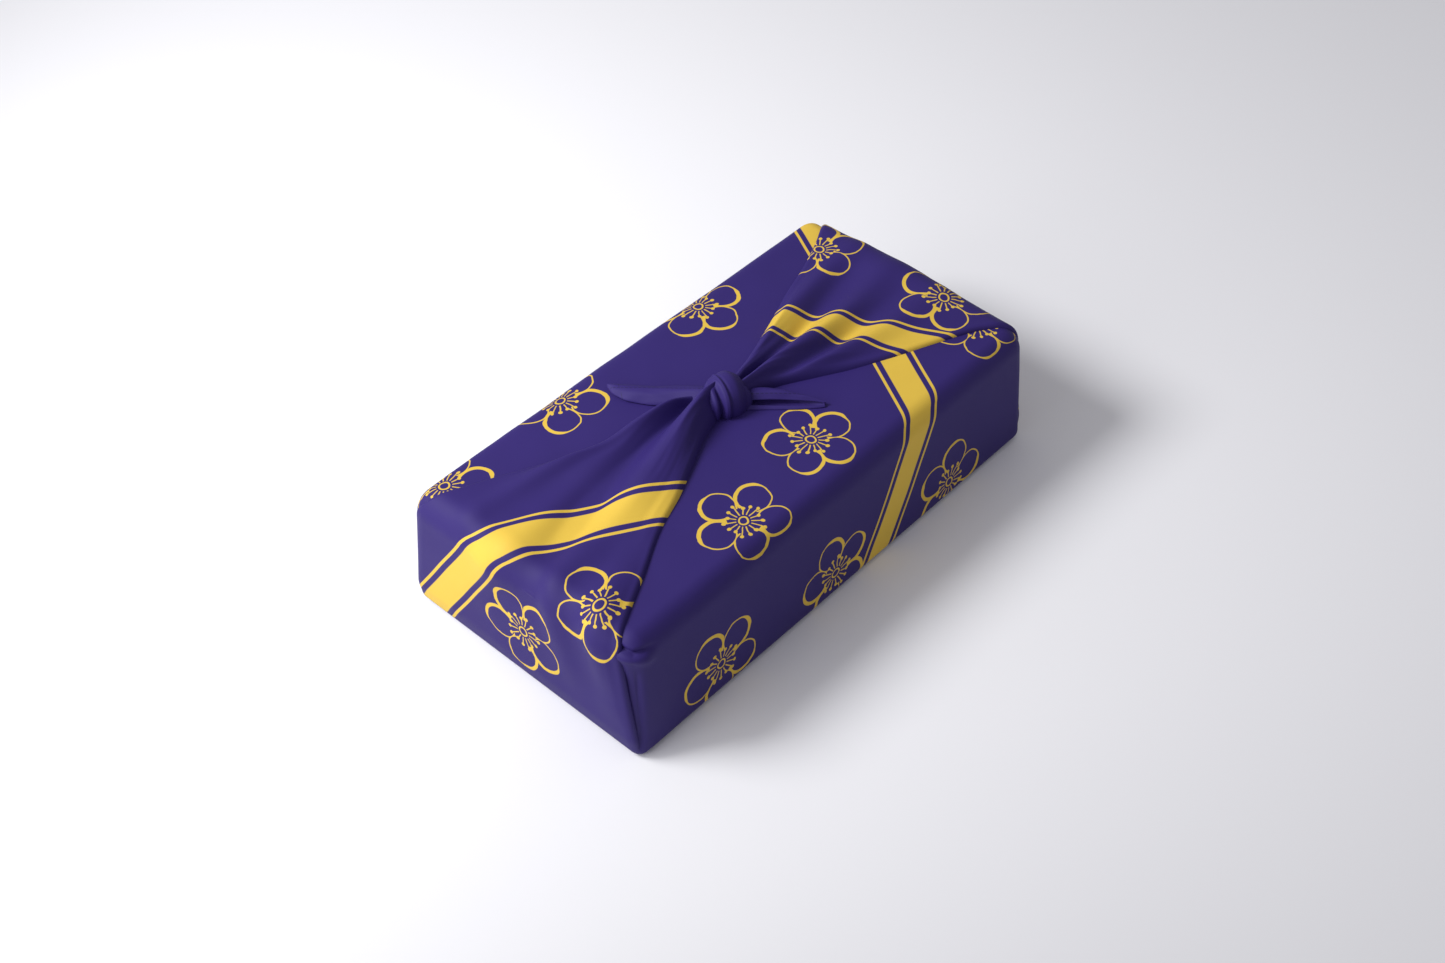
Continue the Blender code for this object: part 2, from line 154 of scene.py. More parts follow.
# Strap over the tails: places of its middle line from the far foot to the near one, width, the
# turn of its section, and how far its middle stands over its edges, in mm
Station = namedtuple("Station", "x y z width turn_deg crown")
STRAP = (
    Station(0.0, 12.0, -1.0, 15.0, 36, 2.0),
    Station(-1.0, 10.5, 6.0, 17.0, 36, 3.0),
    Station(-1.5, 7.0, 11.0, 18.5, 36, 4.0),
    Station(0.5, 2.0, 12.5, 19.5, 36, 4.6),
    Station(2.6, -2.4, 10.0, 20.0, 34, 4.6),
    Station(3.6, -4.6, 5.0, 19.0, 28, 4.0),
    Station(3.8, -5.2, -1.0, 18.0, 22, 2.2),
)
CORE_SIZE = Vector((22, 17, 24)) * MM
CORE_PLACE = Vector((3, 3, 2)) * MM

# Ears, the cloth's corners that stick out of the knot. Each section goes from the far edge of the
# upper side round to the last edge, as (y, z) in mm at its x.
Section = namedtuple("Section", "x points")
LEFT_EAR = (
    Section(-4.0, ((5.0, 9.5), (2.5, 10.5), (0.0, 9.5), (-2.5, 7.0), (-3.4, 4.0), (-2.2, 2.5))),
    Section(-12.0, ((7.0, 8.2), (4.2, 9.2), (1.2, 8.2), (-1.4, 5.8), (-2.2, 3.2), (-1.0, 2.2))),
    Section(-22.0, ((9.0, 6.4), (6.0, 7.4), (2.8, 6.4), (0.2, 4.2), (-0.8, 2.2), (0.6, 1.4))),
    Section(-34.0, ((10.6, 4.8), (7.6, 6.0), (4.2, 5.2), (1.6, 3.2), (0.6, 1.6), (1.8, 1.0))),
    Section(-44.0, ((11.6, 4.4), (9.2, 5.3), (6.2, 4.6), (3.6, 3.0), (2.8, 1.8), (3.8, 1.2))),
    Section(-51.0, ((12.6, 4.0), (11.2, 4.7), (9.2, 4.2), (7.4, 3.0), (6.8, 2.2), (7.6, 1.6))),
    Section(-54.0, ((12.8, 3.7), (12.3, 4.1), (11.4, 3.9), (10.6, 3.2), (10.3, 2.7), (10.7, 2.3))),
    Section(-55.0, ((12.7, 3.4), (12.6, 3.6), (12.4, 3.5), (12.2, 3.3), (12.2, 3.1), (12.3, 2.9))),
)
RIGHT_EAR = (
    Section(
        5.0,
        ((0.5, 4.2), (2.0, 5.8), (4.5, 5.4), (4.5, 3.0), (2.0, 1.2), (-0.8, 0.8), (-1.6, 1.6), (-0.4, 2.6)),
    ),
    Section(
        15.0,
        ((0.8, 5.0), (3.6, 7.4), (7.2, 6.8), (6.8, 3.4), (2.6, 1.0), (-1.2, 0.5), (-2.6, 2.0), (-1.0, 3.4)),
    ),
    Section(
        24.0,
        ((1.4, 4.8), (4.8, 7.6), (8.0, 6.2), (7.2, 3.0), (3.0, 0.8), (-0.8, 0.4), (-2.0, 1.6), (-0.7, 2.9)),
    ),
    Section(
        34.0,
        ((1.8, 4.2), (4.2, 6.2), (6.0, 5.0), (5.4, 2.6), (2.8, 0.8), (-0.6, 0.4), (-1.7, 1.5), (-0.5, 2.6)),
    ),
    Section(
        42.0,
        ((1.8, 3.6), (3.2, 4.8), (4.2, 4.0), (3.8, 2.4), (2.4, 0.9), (-0.1, 0.5), (-0.9, 1.4), (0.1, 2.3)),
    ),
    Section(
        48.6,
        ((1.6, 2.8), (1.9, 3.3), (2.3, 3.0), (2.1, 2.2), (1.6, 1.4), (0.6, 1.0), (0.3, 1.4), (0.8, 1.9)),
    ),
)


# Camera

CAMERA_PLACE = Vector((-0.519, -0.461, 0.718))
CAMERA_AZIMUTH = math.radians(-48.0)
CAMERA_DROP = math.radians(45.09)  # how far it looks down
CAMERA_ROLL = math.radians(0.31)
CAMERA_LENS = 50.1  # mm on a 36 mm sensor


def add_camera():
    level = math.cos(CAMERA_DROP)
    ahead = Vector(
        (
            -math.sin(CAMERA_AZIMUTH) * level,
            math.cos(CAMERA_AZIMUTH) * level,
            -math.sin(CAMERA_DROP),
        )
    )
    right = ahead.cross(Vector((0, 0, 1))).normalized()
    up = right.cross(ahead)
    turn = Matrix((right, up, -ahead)).transposed().to_4x4()
    camera = bpy.data.objects.new("camera", bpy.data.cameras.new("camera"))
    camera.data.lens = CAMERA_LENS
    camera.data.sensor_width = 36
    roll = Matrix.Rotation(CAMERA_ROLL, 4, "Z")
    camera.matrix_world = Matrix.Translation(CAMERA_PLACE) @ turn @ roll
    SCENE.collection.objects.link(camera)
    SCENE.camera = camera


# Shapes

def smooth(value, low, high):
    """0 below low, 1 above high and an S-curve between."""
    s = np.clip((value - low) / (high - low), 0.0, 1.0)
    return s * s * (3 - 2 * s)


def bump(distance, width):
    """A soft hump, 1 high at distance 0."""
    return np.exp(-((distance / width) ** 2))


def grain(points, size, seed=0):
    """Smooth noise from -1 to 1 at an array of points, with features of about the given size."""
    shift = Vector((seed * 7.3, seed * 3.1, seed * 5.7))
    flat = points.reshape(-1, 3) / size
    values = [noise.noise(Vector(p) + shift) for p in flat]
    return np.array(values).reshape(points.shape[:-1])


def table_values(rows, places, column):
    """A column of a table read at an array of t, in metres, on a smooth curve through its rows."""
    t = np.array([row.t for row in rows], float)
    y = np.array([getattr(row, column) for row in rows], float)
    slope = np.gradient(y, t)
    at = np.clip(places / MM, t[0], t[-1])
    i = np.clip(np.searchsorted(t, at, side="right") - 1, 0, len(t) - 2)
    span = t[i + 1] - t[i]
    s = (at - t[i]) / span
    value = (
        y[i] * (1 + 2 * s) * (1 - s) ** 2
        + slope[i] * span * s * (1 - s) ** 2
        + y[i + 1] * s * s * (3 - 2 * s)
        - slope[i + 1] * span * s * s * (1 - s)
    )
    return value * MM


def fold_height(folds, t, y):
    """What the pressed folds add at t from the end and y across, in metres."""
    t, y = t / MM, y / MM
    total = np.zeros(np.broadcast(t, y).shape)
    for f in folds:
        along = np.clip(t, f.t_far, f.t_near)
        a, b, c = f.t_far, f.t_mid, f.t_near
        centre = (
            f.y_far * (along - b) * (along - c) / ((a - b) * (a - c))
            + f.y_mid * (along - a) * (along - c) / ((b - a) * (b - c))
            + f.y_near * (along - a) * (along - b) / ((c - a) * (c - b))
        )
        width = f.w_far + (f.w_near - f.w_far) * (along - a) / (c - a)
        height = f.h_far + (f.h_mid - f.h_far) * smooth(along, a, b)
        height = height + (f.h_near - f.h_mid) * smooth(along, b, c)
        height = height * smooth(t, a - FOLD_FADE, a)
        total += height * bump(y - centre, width)
    return total * MM


def skin(x, y, z, offset):
    """Points of the square-edged parcel moved onto the rounded, tapered one, offset outwards."""
    rise = z / HEIGHT
    edge = ROUND_BOTTOM + (ROUND_TOP - ROUND_BOTTOM) * rise
    inner = np.stack(
        (
            np.clip(x, edge - LENGTH / 2, LENGTH / 2 - edge),
            np.clip(y, edge - WIDTH / 2, WIDTH / 2 - edge),
            np.clip(z, ROUND_BOTTOM, HEIGHT - ROUND_TOP),
        ),
        axis=-1,
    )
    out = np.stack((x, y, z), axis=-1) - inner
    out /= np.linalg.norm(out, axis=-1, keepdims=True)
    point = inner + out * (edge + offset)[..., None]
    point[..., 0] *= 1 - LENGTH_TAPER * rise
    point[..., 1] *= 1 - WIDTH_TAPER * rise
    return point


def make_object(name, points, faces, uvs):
    """A smooth-shaded mesh, with a UV in metres of flat cloth for each corner of each face."""
    mesh = bpy.data.meshes.new(name)
    mesh.from_pydata([tuple(p) for p in points], [], [tuple(f) for f in faces])
    layer = mesh.uv_layers.new(name="cloth")
    layer.data.foreach_set("uv", np.asarray(uvs, np.float32).ravel())
    mesh.shade_smooth()
    made = bpy.data.objects.new(name, mesh)
    SCENE.collection.objects.link(made)
    return made


def loft(name, outer, inner, uv):
    """A closed sheet from its outer and inner grids of points, joined round the rim."""
    rows, columns = outer.shape[:2]
    index = np.arange(rows * columns).reshape(rows, columns)
    under = index + rows * columns
    quads = []

    def cover(a, b, c, d):
        quads.append(np.stack((a, b, c, d), axis=-1).reshape(-1, 4))

    cover(index[:-1, :-1], index[1:, :-1], index[1:, 1:], index[:-1, 1:])
    cover(under[:-1, :-1], under[:-1, 1:], under[1:, 1:], under[1:, :-1])
    cover(index[:-1, 0], under[:-1, 0], under[1:, 0], index[1:, 0])
    cover(index[1:, -1], under[1:, -1], under[:-1, -1], index[:-1, -1])
    cover(index[0, 1:], under[0, 1:], under[0, :-1], index[0, :-1])
    cover(index[-1, :-1], under[-1, :-1], under[-1, 1:], index[-1, 1:])
    faces = np.concatenate(quads)
    points = np.concatenate((outer.reshape(-1, 3), inner.reshape(-1, 3)))
    flat = np.concatenate((uv.reshape(-1, 2), uv.reshape(-1, 2)))
    return make_object(name, points, faces, flat[faces])


def unroll(points, middle=0.5):
    """The distance across each row of points, from a place in the row."""
    steps = np.linalg.norm(np.diff(points, axis=1), axis=2)
    across = np.concatenate((np.zeros((len(points), 1)), np.cumsum(steps, axis=1)), axis=1)
    return across - across[:, -1:] * middle


# Body of the wrap

FINE_PITCH = 1.3 * MM
PLAIN_PITCH = 2.6 * MM
FINE_REACH = 22 * MM  # how far from the parcel's ends the mesh is fine
LAST_GAP = 0.6  # least distance between the last two places, as a share of the fine pitch
WAVE = 0.55 * MM  # height of the cloth's soft waves
WAVE_SIZE = 48 * MM
RIPPLE_SIZE = 19 * MM
RIPPLE_SHARE = 0.35  # height of the ripples on the waves, as a share of theirs
WAVES_START = (2 * MM, 14 * MM)  # heights above the floor between which the waves set in

# Tuck at the near corner, on the long side that shows, in mm. A crease is given by its height
# above the floor at the corner, its fall along the side, its half-width and its height outwards.
Crease = namedtuple("Crease", "z fall width height")
TUCK_CORNER = -142
TUCK_CREASES = (Crease(62.5, 0.30, 2.8, 1.6), Crease(67.0, 0.22, 1.6, -2.0))
CREASE_ENDS = (-136, -124)  # x between which the creases run out
GROOVE_X = -140.5
GROOVE_WIDTH = 3
GROOVE_DEPTH = 1.7
GROOVE_FOOT = (4, 16)  # heights between which the groove sets in
GROOVE_HEAD = (46, 60)  # and runs out
HUMP_X = -128
HUMP_Z = 30
HUMP_WIDTH = 9
HUMP_RISE = 22
HUMP_HEIGHT = 0.8


def cuts(low, high, fine_low=0.0, fine_high=0.0):
    """Places from low to high, closer together near the ends by the given reaches."""
    places = [low]
    while places[-1] < high - FINE_PITCH * LAST_GAP:
        at = places[-1]
        near = at < low + fine_low or at > high - fine_high
        places.append(min(at + (FINE_PITCH if near else PLAIN_PITCH), high))
    places[-1] = high
    return np.array(places)


def cloth_step(y, z):
    """The rounded brink of the upper side flap on the hidden long side."""
    brink = HEIGHT - UPPER_FLAP_REACH
    reach = smooth(z, brink, brink + UPPER_FLAP_ROLL)
    return UPPER_FLAP_STEP * reach * smooth(y, WIDTH / 2 - ROUND_TOP, WIDTH / 2)


def corner_tuck(x, z):
    """How far the tuck's creases, its groove and its hump stand out, in mm."""
    x, z = x / MM, z / MM
    creases = 0.0
    for c in TUCK_CREASES:
        creases = creases + c.height * bump(z - (c.z - c.fall * (x - TUCK_CORNER)), c.width)
    fade = 1 - smooth(x, *CREASE_ENDS)
    groove = bump(x - GROOVE_X, GROOVE_WIDTH) * smooth(z, *GROOVE_FOOT) * (1 - smooth(z, *GROOVE_HEAD))
    hump = bump(x - HUMP_X, HUMP_WIDTH) * bump(z - HUMP_Z, HUMP_RISE)
    return creases * fade - GROOVE_DEPTH * groove + HUMP_HEIGHT * hump


def body_offset(x, y, z):
    """How far the cloth stands out from the plain parcel: crown, step, waves and corner tuck."""
    end_share = np.abs(x) / (LENGTH / 2)
    side_share = np.abs(y) / (WIDTH / 2)
    on_top = z > HEIGHT - TOUCH
    on_side = (side_share > 1 - TOUCH) & ~on_top
    crown = TOP_CROWN * (1 - side_share**2) * (1 - end_share**2)
    swell = SIDE_SWELL * np.sin(np.pi * z / HEIGHT) * (1 - end_share**2)
    offset = np.where(on_top, crown, 0.0) + np.where(on_side, swell, 0.0)
    offset = offset + np.where((y > 0) & (z > TOUCH), cloth_step(y, z), 0.0)
    points = np.stack((x, y, z), axis=-1)
    waves = grain(points, WAVE_SIZE, 1) + RIPPLE_SHARE * grain(points, RIPPLE_SIZE, 2)
    offset = offset + WAVE * waves * smooth(z, *WAVES_START)
    return offset + np.where(y < 0, corner_tuck(x, z) * MM, 0.0)


def add_body():
    """The cloth round the box, as a grid over a square-edged block that is bent onto the parcel."""
    xs = cuts(-LENGTH / 2, LENGTH / 2, FINE_REACH, ROUND_TOP)
    ys = cuts(-WIDTH / 2, WIDTH / 2, ROUND_TOP, ROUND_TOP)
    zs = cuts(0, HEIGHT, ROUND_BOTTOM, FINE_REACH)
    grid = (xs, ys, zs)
    known, corners, faces, uvs = {}, [], [], []

    def vertex(i, j, k):
        if (i, j, k) not in known:
            known[i, j, k] = len(corners)
            corners.append((xs[i], ys[j], zs[k]))
        return known[i, j, k]

    def flat_place(axis, corner):
        """Where a corner lies on the cloth, unrolled from the top down the sides and ends."""
        x, y, z = corner
        down = HEIGHT - z
        if axis == 2:
            return (x, y) if z > HEIGHT / 2 else (x, WIDTH / 2 + HEIGHT + (WIDTH / 2 - y))
        if axis == 1:
            return (x, math.copysign(WIDTH / 2 + down, y))
        return (math.copysign(LENGTH / 2 + down, x), y)

    for axis in range(3):
        first, second = [a for a in range(3) if a != axis]
        for end in (0, len(grid[axis]) - 1):
            for i in range(len(grid[first]) - 1):
                for j in range(len(grid[second]) - 1):
                    ring = [(i, j), (i + 1, j), (i + 1, j + 1), (i, j + 1)]
                    if (end == 0) != (axis == 1):
                        ring.reverse()
                    places = []
                    for a, b in ring:
                        place = [0, 0, 0]
                        place[axis], place[first], place[second] = end, a, b
                        places.append(vertex(*place))
                    faces.append(places)
                    uvs.extend(flat_place(axis, corners[p]) for p in places)
    x, y, z = np.array(corners).T
    body = make_object("wrap_body", skin(x, y, z, body_offset(x, y, z)), faces, uvs)
    shell = body.modifiers.new("thickness", "SOLIDIFY")
    shell.thickness = SHEET
    shell.offset = -1
    return body


# End flaps

def add_end_flap(name, end, edges, folds, seed):
    """One end corner of the cloth, from the floor up the end and over the top to the knot."""
    count = round((KNOT_REACH + HEIGHT - FLAP_START) / FLAP_PITCH)
    t = np.linspace(FLAP_START - HEIGHT, KNOT_REACH, count + 1)[:, None]
    right = table_values(edges, t, "right")
    left = table_values(edges, t, "left")
    steps = np.array(EDGE_STEPS) * MM
    shares = np.linspace(0, 1, FLAP_COLUMNS)[None, 1:-1]
    low, high = right + steps[-1], left - steps[-1]
    y = np.concatenate((right + steps, low + (high - low) * shares, left - steps[::-1]), axis=1)
    t = np.broadcast_to(t, y.shape)

    gather = smooth(t, GATHER_START, KNOT_REACH)
    share = np.clip((y - right) / (left - right), 0.0, 1.0)
    brink = np.minimum(y - right, left - y)
    tent = GATHER_HEIGHT * gather * (4 * share * (1 - share)) ** GATHER_POWER
    settle = smooth(brink, 0, FLAT_BRINK)
    low_fold = END_FOLD + (FLAP_FOLD - END_FOLD) * smooth(t, -FOLD_CHANGE, FOLD_CHANGE)
    fan = np.stack((share * CREASES_ACROSS, t / CREASE_LENGTH, np.zeros_like(t)), axis=-1)
    creases = grain(fan, 1.0, seed) * CREASE_HEIGHT
    creases = creases + grain(fan * SMALL_CREASE, 1.0, seed + 1) * SMALL_CREASE_HEIGHT
    puckers = grain(np.stack((t, y, y * 0), axis=-1), PUCKER_SIZE, seed + 2) * PUCKER_HEIGHT
    fine = creases * (FLAT_SHARE + GATHERED_SHARE * gather) + puckers * (1 - gather)
    lift = low_fold + tent + settle * (fold_height(folds, t, y) + fine)
    above = lift - LEAST_LIFT
    lift = LEAST_LIFT + (above + np.sqrt(above**2 + SOFT_FLOOR**2)) / 2

    roll = np.sqrt(1 - (1 - np.clip(brink / steps[-1], 0.0, 1.0)) ** 2)
    parted = smooth(t + HEIGHT, FLAP_START, FLAP_PARTED)
    outer = (lift * parted + SUNK) * (EDGE_THIN + (1 - EDGE_THIN) * roll) - SUNK
    inner = np.maximum(outer - SHEET, -SUNK)
    x = end * (LENGTH / 2 - np.maximum(t, 0.0))
    z = HEIGHT + np.minimum(t, 0.0)
    top = skin(x, y, z, outer)
    across = unroll(top) + (left + right) / 2
    uv = np.stack((across, t), axis=-1)
    if end < 0:
        return loft(name, top, skin(x, y, z, inner), uv)
    return loft(name, top[:, ::-1], skin(x, y, z, inner)[:, ::-1], uv[:, ::-1])


# Knot

def in_knot(points):
    """Points of the knot's own frame, in metres, moved onto the parcel."""
    placing = np.array(Matrix.Translation(KNOT_CENTRE) @ Matrix.Rotation(KNOT_TURN, 4, "Z"))
    return points @ placing[:3, :3].T + placing[:3, 3]


def spline(values, places):
    """Rows of values read at places from 0 to 1, on a smooth curve through evenly spaced rows."""
    values = np.asarray(values, float)
    slope = np.gradient(values, axis=0)
    at = np.clip(places, 0, 1) * (len(values) - 1)
    i = np.minimum(at.astype(int), len(values) - 2)
    s = (at - i).reshape((-1,) + (1,) * (values.ndim - 1))
    return (
        values[i] * (1 + 2 * s) * (1 - s) ** 2
        + slope[i] * s * (1 - s) ** 2
        + values[i + 1] * s * s * (3 - 2 * s)
        - slope[i + 1] * s * s * (1 - s)
    )


def normals(grid):
    """Unit normals of a grid of points."""
    down = np.gradient(grid, axis=0)
    over = np.gradient(grid, axis=1)
    normal = np.cross(down, over)
    return normal / np.maximum(np.linalg.norm(normal, axis=-1, keepdims=True), 1e-12)


def lengths_along(grid):
    """The distance along the middle column of a grid, from its first row."""
    middle = grid[:, grid.shape[1] // 2]
    steps = np.linalg.norm(np.diff(middle, axis=0), axis=1)
    return np.concatenate(([0.0], np.cumsum(steps)))[:, None]


STRAP_ROWS = 64
STRAP_COLUMNS = 72
# Pleats along the strap: place across, height, width, and the share of the way where they start
Pleat = namedtuple("Pleat", "place height width start")
STRAP_PLEATS = (
    Pleat(-0.84, 1.0 * MM, 0.13, 0.3),
    Pleat(-0.52, -2.2 * MM, 0.11, 0.42),
    Pleat(-0.34, 0.6 * MM, 0.10, 0.35),
    Pleat(-0.20, 0.7 * MM, 0.06, 0.2),
    Pleat(-0.08, -0.4 * MM, 0.08, 0.2),
    Pleat(0.45, 0.4 * MM, 0.25, 0.1),
)
PLEAT_RAMP = 0.2  # share of the way over which a pleat sets in
CROWN_POWER = 2.4  # over 2 for a flatter middle of the strap


def add_strap():
    """The band of the knot that goes over the tails from foot to foot."""
    way = np.linspace(0, 1, STRAP_ROWS + 1)
    s = spline(STRAP, way)[..., None, :]
    q = np.sin(np.linspace(-0.5, 0.5, STRAP_COLUMNS + 1) * np.pi)[None, :]
    width, turn_deg, crest = np.moveaxis(s[..., 3:], -1, 0)
    turn = np.radians(turn_deg)
    side = np.stack((np.cos(turn), np.sin(turn), turn * 0), axis=-1)
    middle = s[..., :3] * MM
    tangent = np.gradient(middle, axis=0)
    normal = np.cross(side, tangent)
    normal /= np.linalg.norm(normal, axis=-1, keepdims=True)
    crown = crest * MM * (1 - np.abs(q) ** CROWN_POWER)
    for p in STRAP_PLEATS:
        ramp = smooth(way, p.start, p.start + PLEAT_RAMP)[:, None]
        crown = crown + p.height * bump(q - p.place, p.width) * ramp
    upwards = np.sign(normal[..., 2:][STRAP_ROWS // 2])
    grid = middle + side * (q * width / 2 * MM)[..., None] + normal * upwards * crown[..., None]
    out = normals(grid)
    if out[STRAP_ROWS // 2, STRAP_COLUMNS // 2, 2] < 0:
        out = -out
    outer, inner = in_knot(grid), in_knot(grid - out * SHEET)
    uv = np.stack((unroll(outer), lengths_along(outer) + unroll(outer) * 0), axis=-1)
    return loft("knot_strap", outer, inner, uv)


CORE_ROWS = 40
CORE_COLUMNS = 64
CORE_POLE = 0.02  # angle left open at the core's top and foot
CORE_PLEATS = 5
CORE_PLEAT_DEPTH = 0.06  # as a share of the core's size
CORE_TWIST = 2


def add_core():
    """The tied tails inside the knot."""
    turn = np.linspace(CORE_POLE, np.pi - CORE_POLE, CORE_ROWS + 1)[:, None]
    around = np.linspace(0, 2 * np.pi, CORE_COLUMNS + 1)[None, :]
    turn, around = np.broadcast_arrays(turn, around)
    ball = np.stack(
        (np.sin(turn) * np.cos(around), np.sin(turn) * np.sin(around), np.cos(turn)), axis=-1
    )
    pleats = 1 + CORE_PLEAT_DEPTH * np.sin(CORE_PLEATS * around + CORE_TWIST * turn) * np.sin(turn)
    outer = ball * (np.array(CORE_SIZE) / 2) * pleats[..., None] + np.array(CORE_PLACE)
    inner = outer - ball * SHEET
    uv = np.stack((around * CORE_SIZE.x / 2, turn * CORE_SIZE.z / 2), axis=-1)
    return loft("knot_core", in_knot(outer), in_knot(inner), uv)


EAR_ROWS = 56
EAR_COLUMNS = 48
EAR_SHEET = 0.8 * MM
CURL_SIZE = 5 * MM  # of an ear's small waves, which are longer along it than across
CURL_STRETCH = (0.5, 1.6, 1.6)
CURL_HEIGHT = 0.3 * MM


def add_ear(name, sections, seed):
    """A corner of the cloth that leaves the knot, as a sheet through its sections."""
    net = np.array([[(s.x, y, z) for y, z in s.points] for s in sections]) * MM
    rows = spline(net, np.linspace(0, 1, EAR_ROWS + 1))
    grid = spline(rows.transpose(1, 0, 2), np.linspace(0, 1, EAR_COLUMNS + 1)).transpose(1, 0, 2)
    out = normals(grid)
    if out[EAR_ROWS // 2, EAR_COLUMNS // 4, 2] < 0:
        out = -out
    curls = grain(grid * np.array(CURL_STRETCH), CURL_SIZE, seed) * CURL_HEIGHT
    grid = grid + out * curls[..., None]
    outer, inner = in_knot(grid), in_knot(grid - out * EAR_SHEET)
    uv = np.stack((unroll(outer, 0.0), lengths_along(outer) + unroll(outer) * 0), axis=-1)
    if np.cross(grid[1, 0] - grid[0, 0], grid[0, 1] - grid[0, 0]).dot(out[0, 0]) < 0:
        outer, inner, uv = outer[:, ::-1], inner[:, ::-1], uv[:, ::-1]
    return loft(name, outer, inner, uv)


# Materials

class Term:
    """A number inside a material, so that a chain of math nodes reads as a plain sum."""

    def __init__(self, tree, socket):
        self.tree = tree
        self.socket = socket

    def math(self, operation, *others):
        node = self.tree.nodes.new("ShaderNodeMath")
        node.operation = operation
        for socket, value in zip(node.inputs, (self, *others)):
            plug(self.tree, value, socket)
        return Term(self.tree, node.outputs[0])

    def __add__(self, other):
        return self.math("ADD", other)

    __radd__ = __add__

    def __sub__(self, other):
        return self.math("SUBTRACT", other)

    def __rsub__(self, other):
        return self.math("MULTIPLY", -1.0) + other

    def __mul__(self, other):
        return self.math("MULTIPLY", other)

    __rmul__ = __mul__

    def __truediv__(self, other):
        return self.math("DIVIDE", other)

    def __abs__(self):
        return self.math("ABSOLUTE")

    def step(self, edge, soft):
        """0 below the edge and 1 above it, with a soft change."""
        node = self.tree.nodes.new("ShaderNodeMapRange")
        node.interpolation_type = "SMOOTHSTEP"
        plug(self.tree, self, node.inputs["Value"])
        plug(self.tree, edge - soft, node.inputs["From Min"])
        plug(self.tree, edge + soft, node.inputs["From Max"])
        return Term(self.tree, node.outputs["Result"])


def plug(tree, value, socket):
    if isinstance(value, Term):
        tree.links.new(value.socket, socket)
    else:
        socket.default_value = value


def join_vector(tree, x, y, z):
    node = tree.nodes.new("ShaderNodeCombineXYZ")
    for value, socket in zip((x, y, z), node.inputs):
        plug(tree, value, socket)
    return Term(tree, node.outputs[0])


def dice(tree, x, y, z):
    """Three numbers from 0 to 1 that depend on the whole numbers x, y and z alone."""
    node = tree.nodes.new("ShaderNodeTexWhiteNoise")
    node.noise_dimensions = "3D"
    plug(tree, join_vector(tree, x, y, z), node.inputs["Vector"])
    split = tree.nodes.new("ShaderNodeSeparateColor")
    tree.links.new(node.outputs["Color"], split.inputs["Color"])
    return [Term(tree, split.outputs[i]) for i in range(3)]


def cloth_place(tree):
    """The place on the flat cloth, in mm."""
    coordinates = tree.nodes.new("ShaderNodeTexCoord")
    split = tree.nodes.new("ShaderNodeSeparateXYZ")
    tree.links.new(coordinates.outputs["UV"], split.inputs[0])
    return [Term(tree, split.outputs[i]) / MM for i in range(2)]


# A printed blossom: the place of its middle on the cloth and its reach, in mm, and its turn
Blossom = namedtuple("Blossom", "u v reach turn_deg")
PETALS = 5
PETAL_PLACE = 0.60  # how far out a petal's middle is, as a share of the blossom's reach
PETAL_ROUND = 0.355  # a petal's radius, likewise
PETAL_UNEVEN = 0.06  # how much the petals differ in size, as a share
PETAL_ROOT = 8.2  # mm from the middle where a petal's outline starts
STAMENS = 15
STAMEN_START = 3.8
STAMEN_LENGTH = 9.0
STAMEN_UNEVEN = 1.3
STEM = 0.3  # half-width of a stamen's line
ANTHER = 0.95  # radius of the dot on a stamen
EYE = 2.4
EYE_STROKE = 0.42
STROKE = 0.55  # half-width of the printed line
THIN_STROKE = 0.7  # share of it on a petal's thin side
ADDED_STROKE = 1.1  # what the thick side adds to that
SIDE_CHANGE = 3.0  # mm over which a line changes from thin to thick
SOFT = 0.12  # softness of the print's edge


def line(distance, half_width):
    """1 on a printed line, from the distance to its middle."""
    return 1 - abs(distance).step(half_width, SOFT)


def pick(nearer, new, old):
    """The new value where nearer is 1, and the old one where it is 0."""
    return old + nearer * (new - old)


def nearest_blossom(u, v, blossoms):
    """The offset from the nearest blossom's middle, with its facts."""
    first, *others = blossoms
    x, y = u - first.u, v - first.v
    facts = [float(first.reach), math.radians(first.turn_deg), 0.0]
    best = x * x + y * y
    for number, blossom in enumerate(others, 1):
        dx, dy = u - blossom.u, v - blossom.v
        away = dx * dx + dy * dy
        nearer = best.math("GREATER_THAN", away)
        x, y, best = pick(nearer, dx, x), pick(nearer, dy, y), best.math("MINIMUM", away)
        values = (float(blossom.reach), math.radians(blossom.turn_deg), float(number))
        facts = [pick(nearer, new, old) for new, old in zip(values, facts)]
    return x, y, facts


